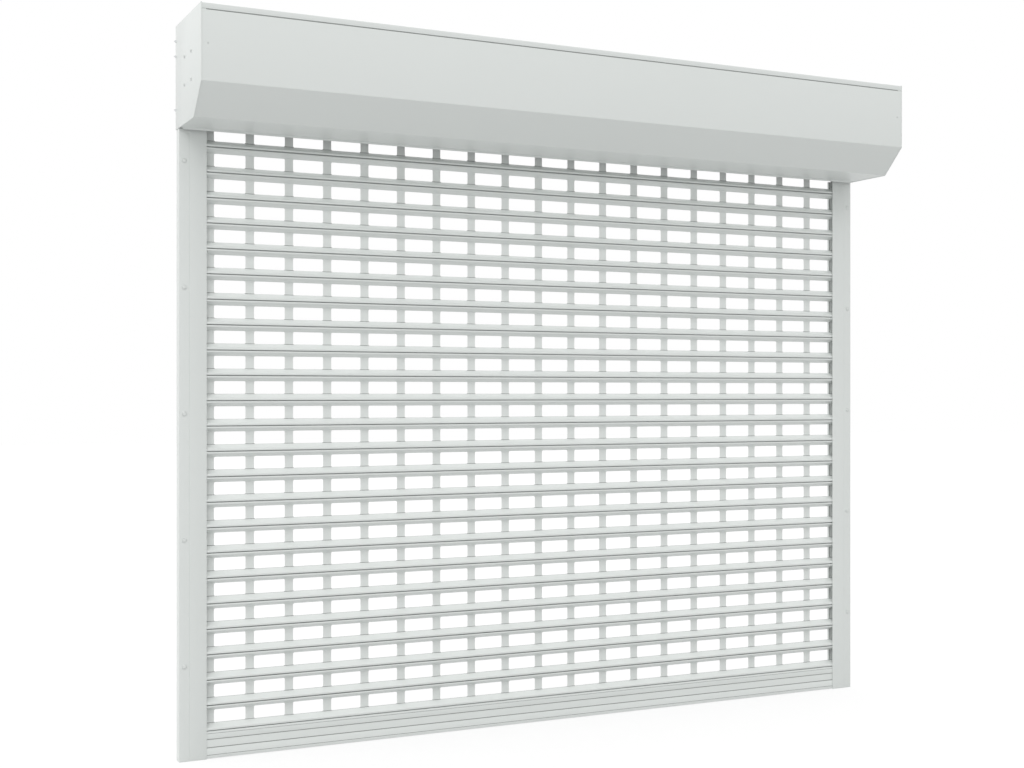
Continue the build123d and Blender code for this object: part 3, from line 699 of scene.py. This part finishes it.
nylon = grained("grey_nylon", (0.50, 0.52, 0.51), (0.56, 0.58, 0.57), 260, 0.5)
rubber = grained("seal_rubber", (0.84, 0.86, 0.85), (0.88, 0.90, 0.89), 400, 0.7)
fibre = grained("brush_fibre", (0.16, 0.16, 0.16), (0.36, 0.36, 0.36), 1500, 0.9,
                stretch=(1, 0.04, 1), relief=0.4)
galvanised = grained("galvanised_steel", (0.46, 0.48, 0.50), (0.66, 0.68, 0.69), 60, 0.42,
                     metallic=0.9, relief=0.04)
turned = grained("turned_steel", (0.55, 0.55, 0.55), (0.68, 0.68, 0.67), 500, 0.3, metallic=1.0,
                 stretch=(8, 0.3, 0.3), relief=0.05)
motor_finish = grained("motor_tube", (0.60, 0.61, 0.62), (0.66, 0.67, 0.68), 90, 0.4,
                       metallic=0.5, stretch=(0.2, 1, 1))
FINISH_OF = {
    "nylon": nylon,
    "seal_rubber": rubber,
    "brush_fibre": fibre,
    "galvanised_steel": galvanised,
    "bright_steel": turned,
    "motor_tube": motor_finish,
}
for subpart in frame["record"]["subparts"]:
    finish = FINISH_OF.get(subpart["material_slot"])
    if finish:
        for held in frame["nodes"][subpart["node"]].material_slots:
            held.material = finish

# Studio. A pale floor under a soft sky, brighter overhead and a little brighter from the left, and
# one large faint lamp at the left, whose light falls off along the grille.
lamp_data = bpy.data.lights.new("side_lamp", "AREA")
lamp_data.size = 4.0
lamp_data.energy = 85.0
lamp = bpy.data.objects.new("side_lamp", lamp_data)
bpy.context.scene.collection.objects.link(lamp)
lamp.location = (-6.0, -6.5, 7.0)
lamp.rotation_euler = (math.radians(57), 0, math.radians(-43))
lamp.visible_glossy = False


def seen_directly(nodes, links):
    """An output that is 1 for the camera, for reflections and through glass, and else 0."""
    rays = nodes.new("ShaderNodeLightPath")
    seen = nodes.new("ShaderNodeMath")
    seen.operation = "MAXIMUM"
    seen_through = nodes.new("ShaderNodeMath")
    seen_through.operation = "MAXIMUM"
    links.new(rays.outputs["Is Camera Ray"], seen.inputs[0])
    links.new(rays.outputs["Is Glossy Ray"], seen.inputs[1])
    links.new(seen.outputs[0], seen_through.inputs[0])
    links.new(rays.outputs["Is Transmission Ray"], seen_through.inputs[1])
    return seen_through.outputs[0]


FLOOR_SIZE = 60
bpy.ops.object.select_all(action="DESELECT")
bpy.ops.mesh.primitive_plane_add(size=FLOOR_SIZE)
floor = bpy.context.object
floor.name = "studio_floor"
floor_paint = bpy.data.materials.new("floor_paint")
floor_paint.use_nodes = True
nodes, links = floor_paint.node_tree.nodes, floor_paint.node_tree.links
nodes.remove(nodes["Principled BSDF"])
grey = nodes.new("ShaderNodeBsdfDiffuse")
grey.inputs["Color"].default_value = (0.58, 0.58, 0.58, 1)
pale = nodes.new("ShaderNodeBsdfDiffuse")
pale.inputs["Color"].default_value = (0.25, 0.25, 0.25, 1)
glow = nodes.new("ShaderNodeEmission")
glow.inputs["Strength"].default_value = 0.75
both = nodes.new("ShaderNodeAddShader")
choose = nodes.new("ShaderNodeMixShader")
links.new(pale.outputs[0], both.inputs[0])
links.new(glow.outputs[0], both.inputs[1])
links.new(seen_directly(nodes, links), choose.inputs["Fac"])
links.new(grey.outputs[0], choose.inputs[1])
links.new(both.outputs[0], choose.inputs[2])
links.new(choose.outputs[0], nodes["Material Output"].inputs["Surface"])
floor.data.materials.append(floor_paint)

SKY_LEVEL = 0.595
SKY_SIDE_SLOPE = -0.36
SKY_UP_SLOPE = 1.28
SKY_UP_LIMIT = 0.5
sky = bpy.data.worlds.new("studio_sky")
bpy.context.scene.world = sky
sky.use_nodes = True
nodes, links = sky.node_tree.nodes, sky.node_tree.links
even = nodes["Background"]
direction = nodes.new("ShaderNodeTexCoord")
split = nodes.new("ShaderNodeSeparateXYZ")
sideways = nodes.new("ShaderNodeMath")
sideways.operation = "MULTIPLY_ADD"
sideways.inputs[1].default_value = SKY_SIDE_SLOPE
sideways.inputs[2].default_value = SKY_LEVEL
upwards = nodes.new("ShaderNodeMath")
upwards.operation = "MULTIPLY_ADD"
upwards.inputs[1].default_value = SKY_UP_SLOPE
overhead = nodes.new("ShaderNodeMath")
overhead.operation = "MINIMUM"
overhead.inputs[1].default_value = SKY_UP_LIMIT
white = nodes.new("ShaderNodeBackground")
choose = nodes.new("ShaderNodeMixShader")
links.new(direction.outputs["Generated"], split.inputs["Vector"])
links.new(split.outputs["X"], sideways.inputs[0])
links.new(split.outputs["Z"], overhead.inputs[0])
links.new(overhead.outputs[0], upwards.inputs[0])
links.new(sideways.outputs[0], upwards.inputs[2])
links.new(upwards.outputs[0], even.inputs["Strength"])
even.inputs["Color"].default_value = (1, 1, 1, 1)
white.inputs["Color"].default_value = (1, 1, 1, 1)
links.new(seen_directly(nodes, links), choose.inputs["Fac"])
links.new(even.outputs[0], choose.inputs[1])
links.new(white.outputs[0], choose.inputs[2])
links.new(choose.outputs[0], nodes["World Output"].inputs["Surface"])

# Camera. It stands level at about chest height, left of the grille, and looks to the right. The
# lens and the small shift are the photo's.
camera_data = bpy.data.cameras.new("camera")
camera = bpy.data.objects.new("camera", camera_data)
bpy.context.scene.collection.objects.link(camera)
camera_data.sensor_width = 36
camera_data.lens = 50.53
camera_data.shift_x = -0.00034
camera_data.shift_y = 0.00907
camera_data.clip_end = 200
camera.location = (-2.467, -4.5685, 1.209)
camera.rotation_euler = (math.radians(90), 0, math.radians(-26.046))
bpy.context.scene.camera = camera
bpy.context.scene.view_settings.view_transform = "Standard"
